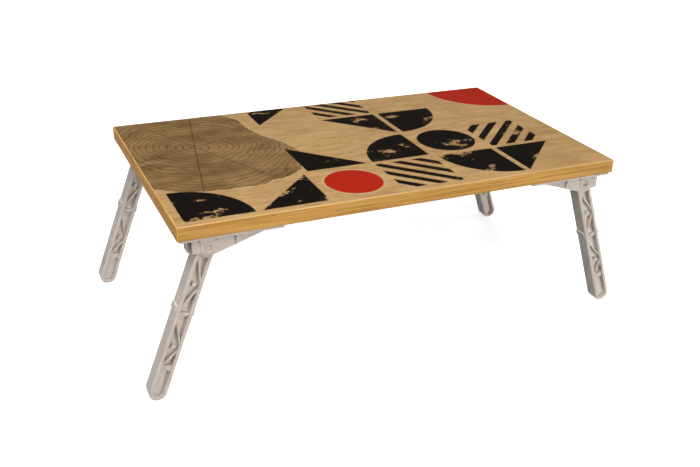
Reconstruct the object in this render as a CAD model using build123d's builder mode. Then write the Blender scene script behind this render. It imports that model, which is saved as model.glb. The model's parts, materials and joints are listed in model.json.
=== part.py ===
from build123d import *

import os
from math import acos, asin, atan2, cos, degrees, hypot, radians, sin, tan

# Folding tray table: a printed board on four moulded legs that fold flat under it.
# Millimetres, +Z up, X along the board. The origin is on the floor, under the middle of the board.

# Tabletop
top_length = 600.0
top_depth = 350.0
top_thickness = 18.0
table_height = 230.0
decor_thickness = 0.8
backing_thickness = 0.6
band_thickness = 1.6
band_edge_radius = 0.9

# Places of the hinges, measured in from the edges of the board
pivot_inset = 37.0
plate_inset = 1.0

# Legs
leg_lean = 20.0
leg_depth = 21.0
hub_radius = 10.5
foot_radius = 11.0
leg_flange = 4.6
leg_web = 6.6
leg_edge_radius = 2.2
hub_solid = 14.0
toe_pocket = 30.0
toe_rib = 7.0
rib_thickness = 2.0
rib_recess = 1.0
rib_margin = 8.0
rib_turn = 11.0
pad_shift = 3.5
rib_pad_radius = 2.8
cross_rib_recess = 2.4

# Collar half way down a leg: a ledge on one side, a ramp on the other
collar_length = 13.0
collar_rib = 4.0
collar_rise = 1.7
collar_setback = 1.0
ledge_length = 8.0
ledge_slope = 1.5
fold_clearance = 0.3

# Screw plate of a bracket, measured along the board from the pivot
plate_thickness = 3.0
plate_width = 40.0
plate_outer_end = 34.0
plate_inner_end = 91.0
plate_corner_radius = 4.0
plate_edge_radius = 0.5

# Cheeks of a bracket
cheek_thickness = 3.0
cheek_clearance = 0.5
cheek_outer_end = 19.0
cheek_tip_end = 73.0
cheek_tip_height = 1.0
cheek_end_drop = 6.0
ear_radius = 11.0
pad_radius = 8.8
pad_rise = 0.8
boss_radius = 5.6
boss_rise = 1.2
gusset_thickness = 1.8
gusset_short_height = 5.5
gusset_far_place = 33.0
gusset_toe = 0.8
gusset_margin = 1.0

# Stop web that an open leg leans on, and the hollow nose outside it
stop_gap = 0.3
stop_thickness = 2.5
nose_end = 23.0
nose_width = 14.0
nose_wall = 2.0

# Pivot rivets, head on one side and rolled tail on the other
rivet_radius = 2.5
rivet_head_radius = 3.9
rivet_head_height = 1.6
rivet_roll_radius = 3.7
rivet_roll_height = 1.1
rivet_roll_bevel = 0.6
rivet_hole_radius = 1.6
rivet_hole_depth = 7.0
pivot_clearance = 0.05
rivet_seat_clearance = 0.02
boss_clearance = 0.4

# Countersunk wood screws
screw_radius = 1.75
screw_head_radius = 3.5
screw_length = 15.0
screw_tip = 3.0
screw_end_inset = 5.5
screw_tongue_inset = 12.0
screw_spacing = 26.0
screw_sink = 0.1
screw_clearance = 0.1
screw_cone_angle = 90.0
screw_recess_span = 3.6
screw_recess_slot = 0.9
screw_recess_depth = 1.6

# Values that follow from the ones above
underside_z = table_height - top_thickness
pivot_drop = plate_thickness + max(hub_radius, foot_radius) + collar_rise + fold_clearance
pivot_x = top_length / 2 - pivot_inset
pivot_z = underside_z - pivot_drop
hinge_y = top_depth / 2 - plate_inset - plate_width / 2
leg_reach = (pivot_z - foot_radius) / cos(radians(leg_lean))
plate_bottom = pivot_drop - plate_thickness
cheek_inner = leg_depth / 2 + cheek_clearance
cheek_outer = cheek_inner + cheek_thickness
collar_end = plate_inner_end - collar_setback
collar_start = collar_end - collar_length
toe_start = leg_reach - toe_pocket
pocket_depth = (leg_depth - leg_web) / 2
screw_span = plate_outer_end - screw_end_inset + plate_inner_end - screw_tongue_inset
screw_middle = (plate_inner_end - screw_tongue_inset - plate_outer_end + screw_end_inset) / 2
core_length = top_length - 2 * band_thickness
core_depth = top_depth - 2 * band_thickness

corners = {
    "front_left": (-1, -1),
    "front_right": (1, -1),
    "back_left": (-1, 1),
    "back_right": (1, 1),
}


def corner_place(side_x, side_y):
    """The pivot of one corner, with its own +X towards the middle of the board."""
    turn = 0 if side_x < 0 else 180
    return Location((side_x * pivot_x, side_y * hinge_y, pivot_z), (0, 0, turn))


def leg_half_width(reach):
    """Half the width of a leg at a distance from its pivot."""
    return hub_radius + (foot_radius - hub_radius) * reach / leg_reach


def stop_face(height):
    """Place of the stop web's inner face at a height above the pivot, along the open leg."""
    lean = radians(leg_lean)
    return height * tan(lean) - (hub_radius + stop_gap) / cos(lean)


def stop_back(height):
    """Place of the stop web's outer face at a height above the pivot."""
    return stop_face(height) - stop_thickness / cos(radians(leg_lean))


def save(piece, name):
    """Labels a finished piece and writes it to its own file."""
    piece.part.label = name
    export_step(piece.part, f"parts/{name}.step")


os.makedirs("parts", exist_ok=True)

# Where the screws of all four brackets go into the board
pilot_places = [
    (side_x * (pivot_x - screw_middle), side_y * hinge_y, underside_z)
    for side_x, side_y in corners.values()
]
pilot_depth = screw_length + screw_sink - plate_thickness + screw_clearance

# Core board between the two sheets, with pilot holes for the screws
with BuildPart() as core_board:
    with BuildSketch(Plane.XY.offset(underside_z + backing_thickness)):
        Rectangle(core_length, core_depth)
    extrude(amount=top_thickness - backing_thickness - decor_thickness)
    with Locations(*pilot_places):
        with GridLocations(screw_span, screw_spacing, 2, 2):
            Cylinder(
                screw_radius + screw_clearance,
                pilot_depth,
                align=(Align.CENTER, Align.CENTER, Align.MIN),
                mode=Mode.SUBTRACT,
            )
save(core_board, "core_board")

# Printed sheet on the top
with BuildPart() as top_decor_sheet:
    with BuildSketch(Plane.XY.offset(table_height - decor_thickness)):
        Rectangle(core_length, core_depth)
    extrude(amount=decor_thickness)
save(top_decor_sheet, "top_decor_sheet")

# Plain sheet on the underside, with the screw holes
with BuildPart() as backing_sheet:
    with BuildSketch(Plane.XY.offset(underside_z)):
        Rectangle(core_length, core_depth)
        with Locations(*[(x, y) for x, y, z in pilot_places]):
            with GridLocations(screw_span, screw_spacing, 2, 2):
                Circle(screw_radius + screw_clearance, mode=Mode.SUBTRACT)
    extrude(amount=backing_thickness)
save(backing_sheet, "backing_sheet")

# Edge bands of the long sides, between the bands of the short sides
for side_name, side in (("front", -1), ("back", 1)):
    with BuildPart() as edge_band:
        with BuildSketch(Plane.XY.offset(underside_z)):
            with Locations((0, side * (top_depth - band_thickness) / 2)):
                Rectangle(core_length, band_thickness)
        extrude(amount=top_thickness)
        outer_face = edge_band.faces().sort_by(Axis.Y)[-1 if side > 0 else 0]
        fillet(outer_face.edges().filter_by(Axis.X), band_edge_radius)
    save(edge_band, f"edge_band_{side_name}")

# Edge bands of the short sides, over the whole depth, rounded at the board's corners
for side_name, side in (("left", -1), ("right", 1)):
    with BuildPart() as edge_band:
        with BuildSketch(Plane.XY.offset(underside_z)):
            with Locations((side * (top_length - band_thickness) / 2, 0)):
                Rectangle(band_thickness, top_depth)
        extrude(amount=top_thickness)
        outer_face = edge_band.faces().sort_by(Axis.X)[-1 if side > 0 else 0]
        fillet(outer_face.edges() + edge_band.edges().filter_by(Axis.X), band_edge_radius)
    save(edge_band, f"edge_band_{side_name}")

# One bracket, with its pivot at the origin and +X towards the middle of the board.
# The front half of what is paired is modelled, then mirrored.
tip_height = plate_bottom - cheek_tip_height
tip_angle = atan2(tip_height, cheek_tip_end)
tangent_angle = tip_angle - acos(ear_radius / hypot(cheek_tip_end, tip_height))
ear_tangent = (ear_radius * cos(tangent_angle), ear_radius * sin(tangent_angle))
taper_slope = (tip_height - ear_tangent[1]) / (cheek_tip_end - ear_tangent[0])
gusset_far_foot = tip_height - (cheek_tip_end - gusset_far_place) * taper_slope
gusset_reach = plate_width / 2 - cheek_outer - gusset_margin

with BuildPart() as bracket_blank:
    # Screw plate, rounded along its lower rim
    with BuildSketch(Plane.XY.offset(plate_bottom)):
        with Locations(((plate_inner_end - plate_outer_end) / 2, 0)):
            RectangleRounded(plate_inner_end + plate_outer_end, plate_width, plate_corner_radius)
    extrude(amount=plate_thickness)
    fillet(bracket_blank.faces().sort_by(Axis.Z)[0].edges(), plate_edge_radius)
    # Cheek: square outer end, round ear about the pivot, straight taper to the tip
    with BuildSketch(Plane.XZ.offset(cheek_inner)):
        with BuildLine():
            Polyline(
                (-cheek_outer_end, plate_bottom),
                (-cheek_outer_end, -cheek_end_drop),
                (0, -cheek_end_drop),
                ear_tangent,
                (cheek_tip_end, tip_height),
                (cheek_tip_end, plate_bottom),
                close=True,
            )
        make_face()
        Circle(ear_radius)
    extrude(amount=cheek_thickness)
    # Raised pad over the ear, and a ring round the rivet's end
    with BuildSketch(Plane.XZ.offset(cheek_outer)):
        Circle(pad_radius)
        with Locations((0, plate_bottom / 2)):
            Rectangle(2 * pad_radius, plate_bottom)
    extrude(amount=pad_rise)
    with BuildSketch(Plane.XZ.offset(cheek_outer)):
        Circle(boss_radius)
    extrude(amount=boss_rise)
    with BuildSketch(Plane.XZ.offset(cheek_outer)):
        Circle(max(rivet_head_radius, rivet_roll_radius) + boss_clearance)
    extrude(amount=boss_rise, mode=Mode.SUBTRACT)
    # Gussets from the cheek to the plate: two short ones beside the pad, a long one on the taper
    gussets = (
        (-pad_radius - gusset_thickness / 2, plate_bottom - gusset_short_height),
        (pad_radius + gusset_thickness / 2, plate_bottom - gusset_short_height),
        (gusset_far_place, gusset_far_foot),
    )
    for place, foot in gussets:
        with BuildSketch(Plane.YZ.offset(place - gusset_thickness / 2)):
            with BuildLine():
                Polyline(
                    (-cheek_outer, plate_bottom),
                    (-cheek_outer - gusset_reach, plate_bottom),
                    (-cheek_outer - gusset_toe, foot),
                    (-cheek_outer, foot),
                    close=True,
                )
            make_face()
        extrude(amount=gusset_thickness)
    mirror(about=Plane.XZ)
    # Stop web from cheek to cheek, along the outer side of the open leg
    with BuildSketch(Plane.XZ):
        with BuildLine():
            Polyline(
                (stop_face(plate_bottom), plate_bottom),
                (stop_face(-cheek_end_drop), -cheek_end_drop),
                (stop_back(-cheek_end_drop), -cheek_end_drop),
                (stop_back(plate_bottom), plate_bottom),
                close=True,
            )
        make_face()
    extrude(amount=cheek_inner + cheek_thickness / 2, both=True)
    # Nose outside the stop web, hollow and open below
    with BuildSketch(Plane.XZ):
        with BuildLine():
            Polyline(
                (-nose_end, plate_bottom),
                (-nose_end, -cheek_end_drop),
                (stop_back(-cheek_end_drop), -cheek_end_drop),
                (stop_back(plate_bottom), plate_bottom),
                close=True,
            )
        make_face()
    extrude(amount=nose_width / 2, both=True)
    nose_roof = plate_bottom - nose_wall
    with BuildSketch(Plane.XZ):
        with BuildLine():
            Polyline(
                (nose_wall - nose_end, nose_roof),
                (nose_wall - nose_end, -cheek_end_drop),
                (stop_back(-cheek_end_drop), -cheek_end_drop),
                (stop_back(nose_roof), nose_roof),
                close=True,
            )
        make_face()
    extrude(amount=nose_width / 2 - nose_wall, both=True, mode=Mode.SUBTRACT)
    # Hole for the rivet, and countersunk holes for the screws
    Cylinder(
        rivet_radius + rivet_seat_clearance,
        plate_width,
        rotation=(90, 0, 0),
        mode=Mode.SUBTRACT,
    )
    with Locations(Plane((screw_middle, 0, plate_bottom), z_dir=(0, 0, -1))):
        with GridLocations(screw_span, screw_spacing, 2, 2):
            CounterSinkHole(
                screw_radius + screw_clearance,
                screw_head_radius + screw_clearance,
                plate_thickness,
                screw_cone_angle,
            )

# One leg, upright, with its pivot at the origin and its ledge towards -X.
# The channel of each face holds two zigzag ribs, and two lower ribs straight across it.
zigzags = (
    (hub_solid, collar_end - collar_rib / 2 - rib_margin),
    (collar_end + collar_rib / 2 + rib_margin, toe_start - toe_rib),
)
cross_ribs = (
    (collar_end - collar_rib / 2, collar_end + collar_rib / 2),
    (toe_start - toe_rib, toe_start),
)


def channel_half_width(reach):
    """Half the width between a leg's flanges at a distance from its pivot."""
    return leg_half_width(reach) - leg_flange


def channel(start, end):
    """Draws the part of the channel between a leg's flanges that lies from start to end."""
    Circle(hub_radius - leg_flange)
    with Locations((0, -leg_reach)):
        Circle(foot_radius - leg_flange)
    make_hull()
    with Locations((0, -(start + end) / 2)):
        Rectangle(2 * hub_radius, end - start, mode=Mode.INTERSECT)


def leave_rib(first, last):
    """Leaves a straight rib standing in the channel, from one point to another and into the flanges."""
    run_x, run_z = last[0] - first[0], last[1] - first[1]
    with Locations(((first[0] + last[0]) / 2, (first[1] + last[1]) / 2)):
        angle = degrees(atan2(-run_x, run_z))
        length = hypot(run_x, run_z) + 2 * leg_flange
        Rectangle(rib_thickness, length, rotation=angle, mode=Mode.SUBTRACT)


def leave_zigzag(start, end):
    """Leaves a rib across the channel and back, with a round pad where it turns."""
    turn = (start + end) / 2 + pad_shift
    before, after = turn - rib_turn / 2, turn + rib_turn / 2
    leave_rib((-channel_half_width(start), -start), (channel_half_width(before), -before))
    leave_rib((channel_half_width(after), -after), (-channel_half_width(end), -end))
    with Locations((0, -turn)):
        Circle(rib_pad_radius, mode=Mode.SUBTRACT)


def leave_cross_rib(start, end):
    """Leaves a rib straight across the channel."""
    with Locations((0, -(start + end) / 2)):
        Rectangle(2 * hub_radius, end - start, mode=Mode.SUBTRACT)


with BuildPart() as leg_blank:
    with BuildSketch(Plane.XZ):
        Circle(hub_radius)
        with Locations((0, -leg_reach)):
            Circle(foot_radius)
        make_hull()
    extrude(amount=leg_depth / 2, both=True)
    fillet(leg_blank.faces().filter_by(Axis.Y).edges(), leg_edge_radius)
    # Collar: a ledge on one side and a ramp on the other
    ledge_top = collar_end - ledge_length - ledge_slope
    collar_root = leg_half_width(collar_end) - leg_flange / 2
    collar_face = leg_half_width(collar_end) + collar_rise
    with BuildSketch(Plane.XZ):
        with BuildLine():
            Polyline(
                (-collar_root, -ledge_top),
                (-collar_face, -ledge_top),
                (-collar_face, -ledge_top - ledge_length),
                (-collar_root, -collar_end),
                close=True,
            )
        make_face()
        with BuildLine():
            Polyline(
                (collar_root, -collar_start),
                (leg_half_width(collar_start), -collar_start),
                (collar_face, -collar_end),
                (collar_root, -collar_end),
                close=True,
            )
        make_face()
    extrude(amount=leg_depth / 2 - leg_edge_radius, both=True)
    # Channel down to the web, the same on both faces, with ribs that stop short of the face
    for face in (Plane.XZ, Plane((0, 0, 0), x_dir=(-1, 0, 0), z_dir=(0, 1, 0))):
        with BuildSketch(face.offset(leg_web / 2)):
            channel(hub_solid, leg_reach + foot_radius)
            for zigzag in zigzags:
                leave_zigzag(*zigzag)
            for cross_rib in cross_ribs:
                leave_cross_rib(*cross_rib)
        extrude(amount=pocket_depth, mode=Mode.SUBTRACT)
        with BuildSketch(face.offset(leg_depth / 2 - rib_recess)):
            channel(hub_solid, leg_reach + foot_radius)
        extrude(amount=rib_recess, mode=Mode.SUBTRACT)
        for cross_rib in cross_ribs:
            with BuildSketch(face.offset(leg_depth / 2 - cross_rib_recess)):
                channel(*cross_rib)
            extrude(amount=cross_rib_recess, mode=Mode.SUBTRACT)
    Cylinder(
        rivet_radius + pivot_clearance,
        leg_depth,
        rotation=(90, 0, 0),
        mode=Mode.SUBTRACT,
    )

# One rivet along Y: domed head at the front, straight shank, hollow tail rolled over at the back
dome_radius = (rivet_head_radius**2 + rivet_head_height**2) / (2 * rivet_head_height)
dome_angle = asin(rivet_head_radius / dome_radius)

with BuildPart() as rivet_blank:
    with BuildSketch(Plane.XY):
        with BuildLine():
            head_top = -cheek_outer - rivet_head_height
            roll_top = cheek_outer + rivet_roll_height
            ThreePointArc(
                (0, head_top),
                (dome_radius * sin(dome_angle / 2), head_top + dome_radius * (1 - cos(dome_angle / 2))),
                (rivet_head_radius, -cheek_outer),
            )
            Polyline(
                (rivet_head_radius, -cheek_outer),
                (rivet_radius, -cheek_outer),
                (rivet_radius, cheek_outer),
                (rivet_roll_radius, cheek_outer),
                (rivet_roll_radius - rivet_roll_bevel, roll_top),
                (rivet_hole_radius + rivet_roll_bevel, roll_top),
                (rivet_hole_radius, roll_top - rivet_roll_bevel),
                (rivet_hole_radius, cheek_outer - rivet_hole_depth),
                (0, cheek_outer - rivet_hole_depth),
                (0, head_top),
            )
        make_face()
    revolve(axis=Axis.Y)

# One countersunk screw, point up, with its head flush in the plate
with BuildPart() as screw_blank:
    with BuildSketch(Plane.XZ):
        with BuildLine():
            neck = (screw_head_radius - screw_radius) / tan(radians(screw_cone_angle / 2))
            Polyline(
                (0, screw_sink),
                (screw_head_radius, screw_sink),
                (screw_radius, screw_sink + neck),
                (screw_radius, screw_sink + screw_length - screw_tip),
                (0, screw_sink + screw_length),
                close=True,
            )
        make_face()
    revolve(axis=Axis.Z)
    # Cross recess for the driver
    with BuildSketch(Plane.XY.offset(screw_sink)):
        Rectangle(screw_recess_span, screw_recess_slot)
        Rectangle(screw_recess_slot, screw_recess_span)
    extrude(amount=screw_recess_depth, mode=Mode.SUBTRACT)

# Each corner gets a bracket, a leg at its open lean, a rivet and four screws.
# The legs all face the same way, so they lean to either side without being turned round.
for corner, (side_x, side_y) in corners.items():
    place = corner_place(side_x, side_y)
    with BuildPart() as bracket:
        with Locations(place):
            add(bracket_blank.part)
    save(bracket, f"bracket_{corner}")
    with BuildPart() as leg:
        with Locations(Location(place.position, (0, -side_x * leg_lean, 0))):
            add(leg_blank.part)
    save(leg, f"leg_{corner}")
    with BuildPart() as rivet:
        with Locations(place):
            add(rivet_blank.part)
    save(rivet, f"pivot_rivet_{corner}")
    with BuildPart() as screws:
        with Locations(place * Location((screw_middle, 0, plate_bottom))):
            with GridLocations(screw_span, screw_spacing, 2, 2):
                add(screw_blank.part)
    save(screws, f"bracket_screws_{corner}")
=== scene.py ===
import json
from math import cos, radians, sin, sqrt

import bpy
from mathutils import Matrix, Vector


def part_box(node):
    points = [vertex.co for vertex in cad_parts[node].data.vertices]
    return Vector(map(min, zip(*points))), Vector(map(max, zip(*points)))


# Folding tray table: finishes for the pieces of the frame, and a plain studio round them.
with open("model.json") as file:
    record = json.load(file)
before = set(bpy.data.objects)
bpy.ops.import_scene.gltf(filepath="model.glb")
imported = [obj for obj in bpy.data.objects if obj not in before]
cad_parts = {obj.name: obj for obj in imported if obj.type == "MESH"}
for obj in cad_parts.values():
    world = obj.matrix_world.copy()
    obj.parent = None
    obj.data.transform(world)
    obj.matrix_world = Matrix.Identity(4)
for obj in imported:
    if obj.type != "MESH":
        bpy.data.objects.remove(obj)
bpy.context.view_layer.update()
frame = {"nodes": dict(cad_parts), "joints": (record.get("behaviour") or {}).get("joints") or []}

CORNERS = ("front_left", "front_right", "back_left", "back_right")

# Places and sizes in the finishes are in millimetres, and the frame is in metres
MM = 1000.0

# Camera, as worked out from the corners of the board and the feet: metres, degrees and film millimetres
CAMERA_PLACE = (-0.5027, -1.0473, 0.6615)
CAMERA_TURN = 25.32
CAMERA_PITCH = 26.18
CAMERA_ROLL = 2.08
CAMERA_LENS = 46.0
SENSOR_WIDTH = 36.0

# Colours, as linear red, green and blue
OAK_LIGHT = (0.525, 0.332, 0.146)
OAK_MIDDLE = (0.380, 0.227, 0.091)
OAK_DARK = (0.165, 0.090, 0.033)
EDGE_LIGHT = (0.690, 0.408, 0.136)
EDGE_MIDDLE = (0.460, 0.245, 0.060)
EDGE_DARK = (0.215, 0.093, 0.019)
# The short side bands are a lighter, more orange copy of the long front and back bands: painted light, set
# for how differently the two pairs are lit
LONG_TINT = (0.83, 0.79, 0.68)
SHORT_TINT = (1.12, 1.00, 0.70)
# Colour of the painted highlight along the bands' upper edge
BAND_PAINTED_HIGHLIGHT = (0.660, 0.474, 0.230)
KRAFT = (0.118, 0.066, 0.024)
INK_BLACK = (0.0055, 0.0038, 0.0029)
INK_RED = (0.385, 0.013, 0.003)
INK_CREAM = (0.480, 0.320, 0.170)
PLASTIC = (0.565, 0.502, 0.452)
PLASTIC_SHADE = (0.500, 0.438, 0.388)
# Painted light on the legs: a painted highlight along the ledge, paler plastic standing in for light deep in
# the channels, and painted shade on the channels' upward faces
PLASTIC_PAINTED_HIGHLIGHT = (0.930, 0.890, 0.850)
PLASTIC_PAINTED_LIGHT = (0.645, 0.582, 0.529)
PLASTIC_PAINTED_SHADE = (0.330, 0.285, 0.250)
BACKING = (0.760, 0.720, 0.660)
BACKING_SHADE = (0.690, 0.645, 0.580)
CHIP_LIGHT = (0.520, 0.360, 0.200)
CHIP_DARK = (0.250, 0.150, 0.070)
ZINC = (0.360, 0.345, 0.325)
ZINC_SHADE = (0.260, 0.245, 0.228)
RIVET = (0.560, 0.520, 0.480)
RIVET_SHADE = (0.450, 0.415, 0.380)

# Heights of the finest relief, and the radius of the moulded edges, in metres
PRINT_RELIEF = 0.00006
BAND_RELIEF = 0.00008
MOULD_RELIEF = 0.00003
FIBRE_RELIEF = 0.00004
CHIP_RELIEF = 0.0003
ZINC_RELIEF = 0.00002
SOFT_EDGE = 0.0007

# How far light spreads inside the plastic: metres, and shares for red, green and blue
SCATTER = 0.004
SCATTER_SHARES = (1.0, 0.9, 0.8)

# Oak grain: how strongly its curls and pores show
CURL_SHARE = 0.50
PORE_SHARE = 0.50

# Painted highlight along the bands' upper edge and painted shade along their lower edge: where they
# start and are full, in millimetres from the band's upper or lower side, and how strongly they show
UPPER_HIGHLIGHT_START = 1.35
UPPER_HIGHLIGHT_FULL = 0.45
LOWER_SHADE_START = 0.9
LOWER_SHADE_FULL = 0.27
LONG_HIGHLIGHT_SHARE = 0.55
SHORT_HIGHLIGHT_SHARE = 0.15
LOWER_SHADE_SHARE = 0.6

# Places on a leg, in millimetres from its pivot or its middle, and its lean in degrees. The painted shade
# on the channel's upward faces goes by how far a face looks up, and the shares are how strongly that
# painted shade and the painted highlight on the ledge show.
LEG_LEAN = 20.0
LEDGE_REACH = 80.5
LEDGE_INNER = 10.9
LEDGE_FADE = 0.2
CHANNEL_HALF = 6.5
CHANNEL_FADE = 0.5
CHANNEL_FLOOR = 3.3
RIB_FACE = 9.5
RIB_FADE = 0.3
LEDGE_HIGHLIGHT_FULL = 0.5
LEDGE_HIGHLIGHT_END = 0.8
UPWARD_SHADE_START = 0.2
UPWARD_SHADE_FULL = 0.7
UPWARD_SHADE_SHARE = 0.35
LEDGE_HIGHLIGHT_SHARE = 0.55

# Black shapes of the print, in millimetres, on tiles that are counted from the front left one. Stripes
# start some whole pitches back, so that the distance across a tile stays above 0.
DIAGONAL = sqrt(0.5)
TILE = 84.0
HALF_TILE = TILE / 2
TILE_PITCH = 92.0
FIRST_TILE = (-246.0, -122.0)
STRIPE_PITCH = 21.0
STRIPE_WIDTH = 10.5
WHOLE_PITCHES = 8
DOT_RADIUS = 41.0
INK_FADE = 0.4
INK_RAG = 1.3

# Brown field of the print, in millimetres: its middle, its round edge, a slanting line that cuts it
# off, and its pale rim. The shares are how strongly the brown and the rim show.
FIELD_MIDDLE = (-214.0, 58.0)
FIELD_RADIUS = 148.0
FIELD_SQUEEZE = 0.82
FIELD_SLANT = (0.9, 0.3)
FIELD_CUT = 78.0
FIELD_WANDER = 42.0
FIELD_RAG = 5.0
FIELD_FADE = 0.6
LEAST_BROWN_SHARE = 0.55
BROWN_SHARE_SPREAD = 0.35
RIM_MIDDLE = 1.6
RIM_FULL = 0.7
RIM_END = 1.9
RIM_SHARE = 0.55

# Growth rings and cracks in the brown field: lines that fade out from their middle, in millimetres.
# A crack runs across the direction given.
RING_PITCH = 8.5
LINE_FULL = 0.2
LINE_END = 0.9
RING_WANDER = 46.0
RING_RAG = 1.5
CRACKS = ((0.90, 0.44), (0.35, -0.94), (0.98, -0.20))
CRACK_RAG = 1.6
LINE_SHARE = 0.80

# Red discs of the print, as middle and radius in millimetres, with a cream border
RED_DISCS = ((-62.0, -122.0, 37.0), (300.0, 175.0, 98.0))
RED_RAG = 0.7
BORDER = 3.6

# Wear of the print, and shares of its relief for the pores and the two inks
SMEAR_SHARE = 0.75
PATCH_RAG = 0.35
PORE_DEPTH = 0.6
BLACK_HEIGHT = 0.5
RED_HEIGHT = 0.4

# Soft lights: name, place, aim and width in metres, power in watts, and whether gloss shows them
LIGHTS = (
    ("key_light", (-1.05, -1.08, 1.25), (0.0, 0.0, 0.1), 1.1, 9.0, True),
    ("overhead_light", (-0.65, -0.65, 1.85), (-0.1, 0.0, 0.1), 1.2, 28.0, True),
    ("front_light", (0.7, -2.3, 0.60), (0.1, 0.0, 0.1), 1.1, 39.0, False),
    ("back_light", (1.2, 2.2, 0.5), (0.0, 0.0, 0.1), 1.1, 40.0, False),
    ("right_light", (2.4, 0.2, 0.5), (0.1, 0.0, 0.1), 1.1, 22.0, False),
    ("under_light", (1.0, 0.0, -1.5), (0.0, 0.0, 0.2), 1.1, 28.0, False),
)

# Stage: colours with alpha, sizes in metres, and how far out in millimetres the floor turns white
FLOOR = (0.900, 0.900, 0.900, 1.0)
SKY = (1.0, 0.94, 0.88, 1.0)
WHITE = (1.0, 1.0, 1.0, 1.0)
BLACK = (0.0, 0.0, 0.0, 1.0)
BACKDROP_RADIUS = 20.0
FLOOR_SIZE = 12.0
NEAR_GLOW = 0.63
FAR_GLOW = 1.15
GLOW_START = 600.0
GLOW_END = 1600.0

# Sky: its strength below and above the horizon, and the heights between which that changes
GLOW_BELOW = 0.11
GLOW_ABOVE = 0.15
SKY_LOW = -0.4
SKY_HIGH = 0.5

# What noise comes to on average, and the numbers of the colour sockets on a mix node
NOISE_MIDDLE = 0.5
COLOUR_A, COLOUR_B, COLOUR_RESULT = 6, 7, 2


class Field:
    """A number that varies over a surface. It adds and multiplies like a number, by way of nodes."""

    def __init__(self, graph, socket):
        self.graph = graph
        self.socket = socket

    def __add__(self, other):
        return self.graph.math("ADD", self, other)

    def __sub__(self, other):
        return self.graph.math("SUBTRACT", self, other)

    def __mul__(self, other):
        return self.graph.math("MULTIPLY", self, other)

    def __neg__(self):
        return self.graph.math("MULTIPLY", self, -1.0)

    def __abs__(self):
        return self.graph.math("ABSOLUTE", self)


class Graph:
    """The nodes of one material, with a short call for each kind that the finishes need."""

    def __init__(self, name, **shader_values):
        self.material = bpy.data.materials.new(name)
        self.material.use_nodes = True
        self.tree = self.material.node_tree
        self.tree.nodes.clear()
        self.shader = self.tree.nodes.new("ShaderNodeBsdfPrincipled")
        self.output = self.tree.nodes.new("ShaderNodeOutputMaterial")
        self.tree.links.new(self.shader.outputs["BSDF"], self.output.inputs["Surface"])
        for socket_name, value in shader_values.items():
            self.shader.inputs[socket_name.replace("_", " ")].default_value = value
        self.x, self.y, self.z = (place * MM for place in self.coordinates("Object"))

    def coordinates(self, kind):
        """The three parts of a place or direction in the object's own frame."""
        source = self.tree.nodes.new("ShaderNodeTexCoord")
        split = self.tree.nodes.new("ShaderNodeSeparateXYZ")
        self.tree.links.new(source.outputs[kind], split.inputs[0])
        return [Field(self, socket) for socket in split.outputs]

    def facing_up(self):
        """How far the surface faces up when the object stands, from -1 to 1."""
        return self.coordinates("Normal")[2]

    def feed(self, value, socket):
        """Links a field to a socket, or sets the socket to a plain number or colour."""
        if isinstance(value, Field):
            self.tree.links.new(value.socket, socket)
        elif isinstance(value, tuple):
            socket.default_value = (*value, 1.0)[: len(socket.default_value)]
        else:
            socket.default_value = value

    def math(self, operation, a, b=0.0):
        node = self.tree.nodes.new("ShaderNodeMath")
        node.operation = operation
        self.feed(a, node.inputs[0])
        self.feed(b, node.inputs[1])
        return Field(self, node.outputs[0])

    def least(self, *fields):
        result = fields[0]
        for field in fields[1:]:
            result = self.math("MINIMUM", result, field)
        return result

    def most(self, *fields):
        result = fields[0]
        for field in fields[1:]:
            result = self.math("MAXIMUM", result, field)
        return result

    def length(self, a, b):
        return self.math("SQRT", a * a + b * b)

    def ramp(self, field, low, high):
        """0 below low, 1 above high, smooth between. With low above high it falls instead."""
        node = self.tree.nodes.new("ShaderNodeMapRange")
        node.interpolation_type = "SMOOTHSTEP"
        rising = low < high
        self.feed(field, node.inputs["Value"])
        node.inputs["From Min"].default_value = min(low, high)
        node.inputs["From Max"].default_value = max(low, high)
        node.inputs["To Min"].default_value = 0.0 if rising else 1.0
        node.inputs["To Max"].default_value = 1.0 if rising else 0.0
        return Field(self, node.outputs["Result"])

    def noise(self, x_size, y_size, z_size, detail=2.0, roughness=0.5, warp=0.0):
        """Noise whose features are about that many millimetres long each way."""
        join = self.tree.nodes.new("ShaderNodeCombineXYZ")
        for field, size, socket in zip((self.x, self.y, self.z), (x_size, y_size, z_size), join.inputs):
            self.feed(field * (1.0 / size), socket)
        node = self.tree.nodes.new("ShaderNodeTexNoise")
        self.tree.links.new(join.outputs[0], node.inputs["Vector"])
        node.inputs["Scale"].default_value = 1.0
        node.inputs["Detail"].default_value = detail
        node.inputs["Roughness"].default_value = roughness
        node.inputs["Distortion"].default_value = warp
        return Field(self, node.outputs[0])

    def mix(self, factor, a, b):
        node = self.tree.nodes.new("ShaderNodeMix")
        node.data_type = "RGBA"
        self.feed(factor, node.inputs[0])
        self.feed(a, node.inputs[COLOUR_A])
        self.feed(b, node.inputs[COLOUR_B])
        return Field(self, node.outputs[COLOUR_RESULT])

    def bump(self, height, distance, edge_radius=0.0):
        """Raises the surface by a field times a distance, over edges softened to a radius."""
        node = self.tree.nodes.new("ShaderNodeBump")
        node.inputs["Distance"].default_value = distance
        self.feed(height, node.inputs["Height"])
        self.tree.links.new(node.outputs[0], self.shader.inputs["Normal"])
        if edge_radius:
            soft = self.tree.nodes.new("ShaderNodeBevel")
            soft.inputs["Radius"].default_value = edge_radius
            self.tree.links.new(soft.outputs["Normal"], node.inputs["Normal"])

    def paint(self, colour):
        self.feed(colour, self.shader.inputs["Base Color"])

    def roughen(self, field, least, spread):
        """Roughness from least, where the field is 0, up by spread, where it is 1."""
        self.feed(field * spread + least, self.shader.inputs["Roughness"])


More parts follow.
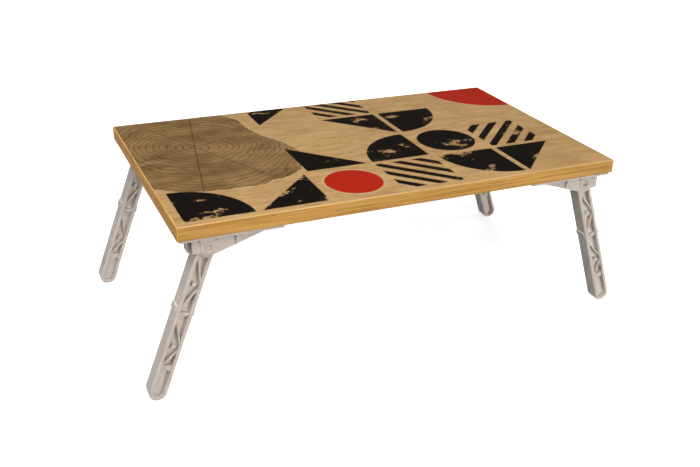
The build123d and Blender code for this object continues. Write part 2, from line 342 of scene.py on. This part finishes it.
def oak(graph, along, tones, width=1.0, stretch=1.0, band_share=0.32, streak_share=0.45):
    """Straight oak grain along an axis, in light, middle and dark tones. Returns its colour and pores."""
    light, middle, dark = tones

    def grain(length, across, **values):
        sizes = [length * stretch if axis == along else across * width for axis in "xyz"]
        return graph.noise(*sizes, **values)

    clouds = grain(90.0, 30.0, detail=5.0, roughness=0.68, warp=1.2)
    bands = grain(170.0, 11.0, detail=4.0, roughness=0.65, warp=0.9)
    streaks = grain(60.0, 2.4, detail=5.0, roughness=0.66, warp=0.4)
    curls = grain(48.0, 15.0, detail=5.0, roughness=0.68, warp=2.4)
    pores = grain(11.0, 0.7, detail=2.0, roughness=0.5)
    pore_mask = graph.ramp(pores, 0.56, 0.68) * graph.ramp(streaks, 0.38, 0.60)
    tone = streaks * streak_share + clouds * (1.0 - streak_share)
    colour = graph.mix(graph.ramp(tone, 0.37, 0.63), light, middle)
    colour = graph.mix(graph.ramp(bands, 0.52, 0.74) * band_share, colour, dark)
    colour = graph.mix(graph.ramp(curls, 0.58, 0.76) * CURL_SHARE, colour, dark)
    colour = graph.mix(pore_mask * PORE_SHARE, colour, dark)
    return colour, pore_mask


def turned(x, y, turns):
    """The point (x, y) turned by quarter turns."""
    return ((x, y), (y, -x), (-x, -y), (-y, x))[turns]


def quarter_disc(graph, x, y):
    """How far a point lies outside a quarter disc that fills its tile, less than 0 inside."""
    round_edge = graph.length(x + HALF_TILE, y + HALF_TILE) - TILE
    return graph.most(round_edge, -x - HALF_TILE, -y - HALF_TILE)


def triangle(graph, x, y):
    """How far a point lies outside one half of a tile cut along its diagonal, less than 0 inside."""
    return graph.most((x + y) * DIAGONAL, -x - HALF_TILE, -y - HALF_TILE)


def stripes(graph, x, y):
    """How far a point lies outside slanting stripes that fill a tile, less than 0 inside."""
    across = (x + y) * DIAGONAL + STRIPE_PITCH * WHOLE_PITCHES
    bars = graph.math("PINGPONG", across, STRIPE_PITCH / 2) - STRIPE_WIDTH / 2
    return graph.most(bars, abs(x) - HALF_TILE, abs(y) - HALF_TILE)


def dot(graph, x, y):
    """How far a point lies outside a round dot in the middle of a tile, less than 0 inside."""
    return graph.length(x, y) - DOT_RADIUS


# The black shapes of the print: shape, column and row of its tile from the front left, quarter turns
BLACK_TILES = (
    (quarter_disc, 0, 0, 0),
    (triangle, 1, 0, 1),
    (stripes, 3, 0, 0),
    (quarter_disc, 4, 0, 2),
    (triangle, 5, 0, 3),
    (triangle, 2, 1, 0),
    (quarter_disc, 3, 1, 1),
    (dot, 4, 1, 0),
    (stripes, 5, 1, 1),
    (triangle, 3, 2, 2),
    (quarter_disc, 4, 2, 3),
    (triangle, 2, 3, 3),
    (stripes, 3, 3, 0),
)


class Wear:
    """The noise that the parts of the print share, so that they are worn as one sheet."""

    def __init__(self, graph):
        self.ragged = graph.noise(5.0, 5.0, 5.0, detail=4.0, roughness=0.6) - NOISE_MIDDLE
        self.wander = graph.noise(70.0, 70.0, 70.0, detail=3.0) - NOISE_MIDDLE
        self.patches = graph.noise(46.0, 30.0, 30.0, detail=3.0, roughness=0.6)
        self.flecks = graph.noise(2.2, 1.1, 1.0, detail=3.0, roughness=0.65)


def ink_smears(graph, wear, ground):
    """Faint smears of ink on the bare wood."""
    smears = graph.noise(34.0, 8.0, 8.0, detail=4.0, roughness=0.65, warp=1.2)
    mask = graph.ramp(smears, 0.62, 0.72) * graph.ramp(wear.flecks, 0.40, 0.56)
    return graph.mix(mask * SMEAR_SHARE, ground, INK_BLACK)


def fine_lines(graph, wear, u, v):
    """Growth rings about the field's middle, and cracks through it."""
    reach = graph.length(u, v) + wear.wander * RING_WANDER + wear.ragged * RING_RAG
    from_ring = graph.math("PINGPONG", reach, RING_PITCH / 2)
    rings = graph.ramp(from_ring, LINE_END, LINE_FULL) * graph.ramp(wear.flecks, 0.30, 0.52)
    from_crack = graph.least(*(abs(u * share_u + v * share_v) for share_u, share_v in CRACKS))
    cracks = graph.ramp(from_crack + wear.ragged * CRACK_RAG, LINE_END, LINE_FULL)
    return graph.most(rings, cracks)


def ringed_field(graph, wear, ground):
    """Brown field with a torn, pale rim, and fine dark lines."""
    u, v = graph.x - FIELD_MIDDLE[0], graph.y - FIELD_MIDDLE[1]
    round_edge = graph.length(u * FIELD_SQUEEZE, v) - FIELD_RADIUS
    slant_edge = graph.x * FIELD_SLANT[0] + graph.y * FIELD_SLANT[1] + FIELD_CUT
    edge = graph.most(round_edge, slant_edge) + wear.wander * FIELD_WANDER + wear.ragged * FIELD_RAG
    brown_share = graph.ramp(wear.patches, 0.35, 0.75) * BROWN_SHARE_SPREAD + LEAST_BROWN_SHARE
    brown = graph.mix(brown_share, ground, KRAFT)
    brown = graph.mix(fine_lines(graph, wear, u, v) * LINE_SHARE, brown, INK_BLACK)
    colour = graph.mix(graph.ramp(edge, FIELD_FADE, -FIELD_FADE), ground, brown)
    rim = graph.ramp(abs(edge - RIM_MIDDLE), RIM_END, RIM_FULL)
    return graph.mix(rim * RIM_SHARE, colour, INK_CREAM)


def red_shapes(graph, wear, colour):
    """Two red discs with a cream border, one of them cut by the board's corner. Returns colour and ink."""
    discs = [graph.length(graph.x - x, graph.y - y) - radius for x, y, radius in RED_DISCS]
    edge = graph.least(*discs) + wear.ragged * RED_RAG
    colour = graph.mix(graph.ramp(edge, BORDER + INK_FADE, BORDER - INK_FADE), colour, INK_CREAM)
    red = graph.ramp(edge, INK_FADE, -INK_FADE)
    return graph.mix(red, colour, INK_RED), red


def black_shapes(graph, wear, colour):
    """Black shapes on a grid of tiles, worn away in patches. Returns colour and ink."""
    shapes = []
    for shape, column, row, turns in BLACK_TILES:
        x = graph.x - (FIRST_TILE[0] + column * TILE_PITCH)
        y = graph.y - (FIRST_TILE[1] + row * TILE_PITCH)
        shapes.append(shape(graph, *turned(x, y, turns)))
    edge = graph.least(*shapes) + wear.ragged * INK_RAG
    wear_and_painted_highlight = graph.ramp(wear.patches + wear.ragged * PATCH_RAG, 0.60, 0.66)
    wear_and_painted_highlight = wear_and_painted_highlight * graph.ramp(wear.flecks, 0.36, 0.50)
    black = graph.ramp(edge, INK_FADE, -INK_FADE) * (-wear_and_painted_highlight + 1.0)
    return graph.mix(black, colour, INK_BLACK), black


def printed_top():
    """Oak-look sheet with worn black shapes, a brown field of fine rings and two red shapes."""
    g = Graph("printed_laminate", Specular_IOR_Level=0.06)
    wear = Wear(g)
    ground, pores = oak(g, "x", (OAK_LIGHT, OAK_MIDDLE, OAK_DARK))
    ground = ink_smears(g, wear, ground)
    colour = ringed_field(g, wear, ground)
    colour, red = red_shapes(g, wear, colour)
    colour, black = black_shapes(g, wear, colour)
    g.paint(colour)
    g.roughen(g.ramp(wear.flecks, 0.2, 0.8), least=0.42, spread=0.10)
    g.bump(pores * -PORE_DEPTH + black * BLACK_HEIGHT + red * RED_HEIGHT, PRINT_RELIEF)
    return g.material


def edge_band(name, along, tint, highlight_share):
    """Honey oak edge band with its grain along it, a painted highlight along its upper edge and painted
    shade along its lower one.
    """
    g = Graph(name, Specular_IOR_Level=0.06)
    tones = [tuple(a * b for a, b in zip(tone, tint)) for tone in (EDGE_LIGHT, EDGE_MIDDLE, EDGE_DARK)]
    colour, pores = oak(g, along, tones, width=0.65, stretch=2.0, band_share=0.75, streak_share=0.80)
    lowest, highest = (corner[2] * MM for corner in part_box("edge_band_front"))
    upper_edge = g.ramp(g.z, highest - UPPER_HIGHLIGHT_START, highest - UPPER_HIGHLIGHT_FULL)
    lower_edge = g.ramp(g.z, lowest + LOWER_SHADE_START, lowest + LOWER_SHADE_FULL)
    # Paler along the upper edge: a painted highlight
    colour = g.mix(upper_edge * highlight_share, colour, BAND_PAINTED_HIGHLIGHT)
    # Darker along the lower edge: painted shade
    colour = g.mix(lower_edge * LOWER_SHADE_SHARE, colour, EDGE_DARK)
    g.paint(colour)
    g.roughen(pores, least=0.55, spread=0.15)
    g.bump(-pores, BAND_RELIEF)
    return g.material


def leg_place(graph, pivot):
    """A point's place on a leg in millimetres: down from the pivot, to the side, and out from the middle."""
    lean = radians(LEG_LEAN if pivot[0] > 0 else -LEG_LEAN)
    across, up = graph.x - pivot[0] * MM, graph.z - pivot[2] * MM
    down = across * sin(lean) - up * cos(lean)
    aside = across * cos(lean) + up * sin(lean)
    return down, aside, abs(abs(graph.y) - abs(pivot[1]) * MM)


def leg_painted_light(graph, pivot, colour):
    """Painted light on a leg: paler plastic deep in the channel standing in for light there, painted shade
    on its upward faces, and a painted highlight along the ledge's upper edge.
    """
    down, aside, out = leg_place(graph, pivot)
    channel = graph.ramp(abs(aside), CHANNEL_HALF + CHANNEL_FADE, CHANNEL_HALF)
    # Paler deep in the channel: painted light standing in for light thrown round inside it
    painted_channel_light = channel * graph.ramp(out, RIB_FACE, CHANNEL_FLOOR)
    below_face = graph.ramp(out, RIB_FACE + RIB_FADE, RIB_FACE)
    # Darker on the channel's upward faces: painted shade against the light from above
    painted_upward_shade = channel * graph.ramp(graph.facing_up(), UPWARD_SHADE_START, UPWARD_SHADE_FULL) * below_face
    # A near-white line along the ledge's upper edge: a painted highlight
    upper_edge = graph.ramp(abs(down - LEDGE_REACH), LEDGE_HIGHLIGHT_END, LEDGE_HIGHLIGHT_FULL)
    wear_and_painted_highlight = upper_edge * graph.ramp(-aside, LEDGE_INNER - LEDGE_FADE, LEDGE_INNER)
    colour = graph.mix(painted_channel_light, colour, PLASTIC_PAINTED_LIGHT)
    colour = graph.mix(painted_upward_shade * UPWARD_SHADE_SHARE, colour, PLASTIC_PAINTED_SHADE)
    return graph.mix(wear_and_painted_highlight * LEDGE_HIGHLIGHT_SHARE, colour, PLASTIC_PAINTED_HIGHLIGHT)


def moulded_plastic(name, pivot=None):
    """Warm light grey moulding with faint clouds and a fine grain. With a pivot, it gets a leg's painted
    light and shade.
    """
    g = Graph(name, Specular_IOR_Level=0.35, Subsurface_Weight=0.8, Subsurface_Scale=SCATTER)
    g.shader.inputs["Subsurface Radius"].default_value = SCATTER_SHARES
    clouds = g.noise(18.0, 18.0, 26.0, detail=3.0, roughness=0.6)
    grain = g.noise(0.35, 0.35, 0.35, detail=2.0)
    colour = g.mix(g.ramp(clouds, 0.35, 0.70), PLASTIC, PLASTIC_SHADE)
    # A leg gets its painted light and shade
    if pivot:
        colour = leg_painted_light(g, pivot, colour)
    g.paint(colour)
    g.roughen(grain, least=0.42, spread=0.16)
    g.bump(grain, MOULD_RELIEF, edge_radius=SOFT_EDGE)
    return g.material


def backing_sheet():
    """Plain pale laminate with a faint fibre pattern."""
    g = Graph("backing_laminate", Specular_IOR_Level=0.25)
    fibres = g.noise(9.0, 1.6, 4.0, detail=4.0, roughness=0.6)
    g.paint(g.mix(g.ramp(fibres, 0.3, 0.75), BACKING, BACKING_SHADE))
    g.roughen(fibres, least=0.45, spread=0.2)
    g.bump(fibres, FIBRE_RELIEF)
    return g.material


def chipboard():
    """Pressed chips, seen only inside the screw holes."""
    g = Graph("chipboard", Roughness=0.85)
    chips = g.noise(4.0, 4.0, 1.5, detail=3.0, roughness=0.7)
    g.paint(g.mix(g.ramp(chips, 0.35, 0.65), CHIP_LIGHT, CHIP_DARK))
    g.bump(chips, CHIP_RELIEF)
    return g.material


def zinc(name, light, shade, metallic, least_rough):
    """Zinc plated steel with fine handling marks, bare or under a duller coat."""
    g = Graph(name, Metallic=metallic)
    marks = g.noise(0.5, 2.5, 0.5, detail=3.0, roughness=0.7)
    g.paint(g.mix(marks, light, shade))
    g.roughen(marks, least=least_rough, spread=0.20)
    g.bump(marks, ZINC_RELIEF)
    return g.material


def node_finishes():
    """The finish of each piece of the frame, by the piece's name."""
    finishes = {
        "top_decor_sheet": printed_top(),
        "backing_sheet": backing_sheet(),
        "core_board": chipboard(),
    }
    # One oak in two tints: the side bands' lighter tint is painted light for how they are lit
    long_band = edge_band("edge_band_long", "x", LONG_TINT, LONG_HIGHLIGHT_SHARE)
    short_band = edge_band("edge_band_short", "y", SHORT_TINT, SHORT_HIGHLIGHT_SHARE)
    for side in ("front", "back"):
        finishes[f"edge_band_{side}"] = long_band
    for side in ("left", "right"):
        finishes[f"edge_band_{side}"] = short_band

    pivots = {joint["child"]: joint["pos_m"] for joint in frame["joints"]}
    leg_plastics = {
        side: moulded_plastic(f"leg_plastic_{side}", pivots[f"front_{side}_leg"])
        for side in ("left", "right")
    }
    bracket_plastic = moulded_plastic("bracket_plastic")
    rivet_metal = zinc("rivet_metal", RIVET, RIVET_SHADE, metallic=0.5, least_rough=0.55)
    screw_steel = zinc("screw_steel", ZINC, ZINC_SHADE, metallic=1.0, least_rough=0.42)
    for corner in CORNERS:
        finishes[f"leg_{corner}"] = leg_plastics[corner.split("_")[1]]
        finishes[f"bracket_{corner}"] = bracket_plastic
        finishes[f"pivot_rivet_{corner}"] = rivet_metal
        finishes[f"bracket_screws_{corner}"] = screw_steel
    return finishes


def area_light(name, place, aim, size, power, gloss):
    """A soft square light that looks at a point, and shows in gloss or not."""
    light = bpy.data.lights.new(name, "AREA")
    light.size = size
    light.energy = power
    piece = bpy.data.objects.new(name, light)
    bpy.context.collection.objects.link(piece)
    piece.location = place
    piece.rotation_euler = (Vector(aim) - Vector(place)).to_track_quat("-Z", "Y").to_euler()
    piece.visible_glossy = gloss


def surroundings():
    """Warm white sky that is a little weaker below the horizon."""
    world = bpy.data.worlds.new("studio")
    world.use_nodes = True
    tree = world.node_tree
    background = tree.nodes["Background"]
    background.inputs["Color"].default_value = SKY
    coordinates = tree.nodes.new("ShaderNodeTexCoord")
    split = tree.nodes.new("ShaderNodeSeparateXYZ")
    fade = tree.nodes.new("ShaderNodeMapRange")
    tree.links.new(coordinates.outputs["Generated"], split.inputs[0])
    tree.links.new(split.outputs["Z"], fade.inputs["Value"])
    tree.links.new(fade.outputs["Result"], background.inputs["Strength"])
    fade.inputs["From Min"].default_value = SKY_LOW
    fade.inputs["From Max"].default_value = SKY_HIGH
    fade.inputs["To Min"].default_value = GLOW_BELOW
    fade.inputs["To Max"].default_value = GLOW_ABOVE
    bpy.context.scene.world = world


def floor():
    """Pale floor that takes soft shadows, throws no light back and is clear from below."""
    g = Graph("floor", Roughness=0.9, Base_Color=FLOOR, Emission_Color=FLOOR)
    far = g.ramp(g.length(g.x, g.y), GLOW_START, GLOW_END)
    g.feed(far * (FAR_GLOW - NEAR_GLOW) + NEAR_GLOW, g.shader.inputs["Emission Strength"])
    clear = g.tree.nodes.new("ShaderNodeBsdfTransparent")
    side = g.tree.nodes.new("ShaderNodeNewGeometry")
    mix = g.tree.nodes.new("ShaderNodeMixShader")
    g.tree.links.new(side.outputs["Backfacing"], mix.inputs[0])
    g.tree.links.new(g.shader.outputs["BSDF"], mix.inputs[1])
    g.tree.links.new(clear.outputs["BSDF"], mix.inputs[2])
    g.tree.links.new(mix.outputs[0], g.output.inputs["Surface"])
    bpy.ops.mesh.primitive_plane_add(size=FLOOR_SIZE)
    piece = bpy.context.object
    piece.name = "floor"
    piece.data.materials.append(g.material)
    piece.visible_diffuse = False


def backdrop():
    """White all round, seen only by the camera."""
    g = Graph("backdrop", Base_Color=BLACK, Emission_Color=WHITE, Emission_Strength=1.0)
    bpy.ops.mesh.primitive_uv_sphere_add(radius=BACKDROP_RADIUS)
    piece = bpy.context.object
    piece.name = "backdrop"
    piece.data.materials.append(g.material)
    piece.visible_diffuse = False
    piece.visible_glossy = False
    piece.visible_shadow = False


def studio():
    """Floor, backdrop and sky, with soft lights above the front left and fills from other sides."""
    floor()
    backdrop()
    surroundings()
    for light in LIGHTS:
        area_light(*light)


def camera():
    """The photograph's view."""
    data = bpy.data.cameras.new("camera")
    data.sensor_fit = "HORIZONTAL"
    data.sensor_width = SENSOR_WIDTH
    data.lens = CAMERA_LENS
    piece = bpy.data.objects.new("camera", data)
    bpy.context.collection.objects.link(piece)
    turn = Matrix.Rotation(radians(-CAMERA_TURN), 4, "Z")
    pitch = Matrix.Rotation(radians(90.0 - CAMERA_PITCH), 4, "X")
    roll = Matrix.Rotation(radians(CAMERA_ROLL), 4, "Z")
    piece.matrix_world = Matrix.Translation(CAMERA_PLACE) @ turn @ pitch @ roll
    bpy.context.scene.camera = piece


for name, finish in node_finishes().items():
    mesh = frame["nodes"][name].data
    mesh.materials.clear()
    mesh.materials.append(finish)

studio()
camera()
bpy.context.scene.view_settings.view_transform = "Standard"

bpy.context.view_layer.update()
